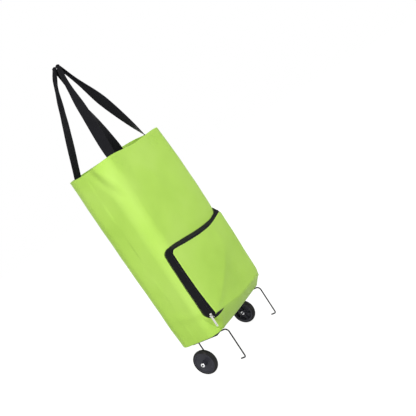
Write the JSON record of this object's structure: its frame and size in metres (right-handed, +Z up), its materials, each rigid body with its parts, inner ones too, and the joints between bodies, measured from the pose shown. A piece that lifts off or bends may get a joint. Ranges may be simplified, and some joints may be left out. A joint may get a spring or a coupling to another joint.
{
  "type": "rolling shopping bag",
  "caption": "Foldable fabric shopping tote on a stiff base with bent wire legs, rear wheels, a flat zipped front pocket and long webbing handles.",
  "frame": {"origin": "on the ground under the middle of the object's overall width and depth", "axes": "+X along the axles to the bag's right, -Y towards the pocket and the standing legs, +Z up"},
  "size_m": [0.2582, 0.136, 0.7649],
  "materials": {
    "bag_fabric": "lime oxford weave, coated inside, soft sheen",
    "loop_webbing": "lime flat webbing",
    "black_webbing": "black ribbed nylon webbing",
    "black_tape": "black woven tape",
    "zip_coil": "black nylon coil",
    "base_board": "matte board",
    "channel_plastic": "moulded, fine grain",
    "rivet_steel": "plated",
    "black_wire": "satin black paint",
    "washer_steel": "plated",
    "nut_chrome": "bright",
    "hub_plastic": "moulded, satin",
    "tyre_rubber": "matte",
    "zip_metal": "nickel plated"
  },
  "bodies": {
    "bag": {"bag_front_panel": "bag_fabric", "bag_back_panel": "bag_fabric", "bag_bottom_panel": "bag_fabric", "pocket_panel": "bag_fabric", "spine_strip": "bag_fabric", "wrist_loop": "loop_webbing", "pocket_gusset": "black_tape", "left_seam_binding": "black_tape", "right_seam_binding": "black_tape", "panel_zip_row": "zip_coil", "gusset_zip_row": "zip_coil", "base_board": "base_board", "left_base_channel": "channel_plastic", "right_base_channel": "channel_plastic", "channel_rivets": "rivet_steel", "front_handle_tabs": "black_webbing", "back_handle_tabs": "black_webbing"},
    "left_frame": {"left_wire_frame": "black_wire", "left_axle_washer": "washer_steel", "left_push_nut": "nut_chrome"},
    "right_frame": {"right_wire_frame": "black_wire", "right_axle_washer": "washer_steel", "right_push_nut": "nut_chrome"},
    "left_wheel": {"left_wheel_hub": "hub_plastic", "left_tyre": "tyre_rubber"},
    "right_wheel": {"right_wheel_hub": "hub_plastic", "right_tyre": "tyre_rubber"},
    "front_handle": {"front_handle": "black_webbing"},
    "back_handle": {"back_handle": "black_webbing"},
    "zip_slider": {"zip_slider": "zip_metal"},
    "zip_pull": {"zip_pull_tab": "zip_metal"}
  },
  "joints": [
    {"name": "left_frame_fold", "type": "hinge", "parent": "bag", "child": "left_frame", "pos_m": [-0.096, 0.009, 0.0778], "axis": [0, -1, 0], "range_deg": [0, 90]},
    {"name": "left_wheel_spin", "type": "hinge", "parent": "left_frame", "child": "left_wheel", "pos_m": [-0.113, 0.0335, 0.03], "axis": [1, 0, 0], "continuous": true},
    {"name": "right_frame_fold", "type": "hinge", "parent": "bag", "child": "right_frame", "pos_m": [0.096, 0.009, 0.0778], "axis": [0, 1, 0], "range_deg": [0, 90]},
    {"name": "right_wheel_spin", "type": "hinge", "parent": "right_frame", "child": "right_wheel", "pos_m": [0.113, 0.0335, 0.03], "axis": [1, 0, 0], "continuous": true},
    {"name": "front_handle_swing", "type": "hinge", "parent": "bag", "child": "front_handle", "pos_m": [0, -0.0515, 0.529], "axis": [1, 0, 0], "range_deg": [0, 170]},
    {"name": "back_handle_swing", "type": "hinge", "parent": "bag", "child": "back_handle", "pos_m": [0, 0.0695, 0.529], "axis": [-1, 0, 0], "range_deg": [0, 170]},
    {"name": "zip_slide", "type": "slide", "parent": "bag", "child": "zip_slider", "axis": [0, 0, 1], "range_m": [0, 0.14]},
    {"name": "zip_pull_hinge", "type": "hinge", "parent": "zip_slider", "child": "zip_pull", "pos_m": [-0.12475, -0.0616, 0.1259], "axis": [0, 1, 0], "range_deg": [0, 170]}
  ]
}
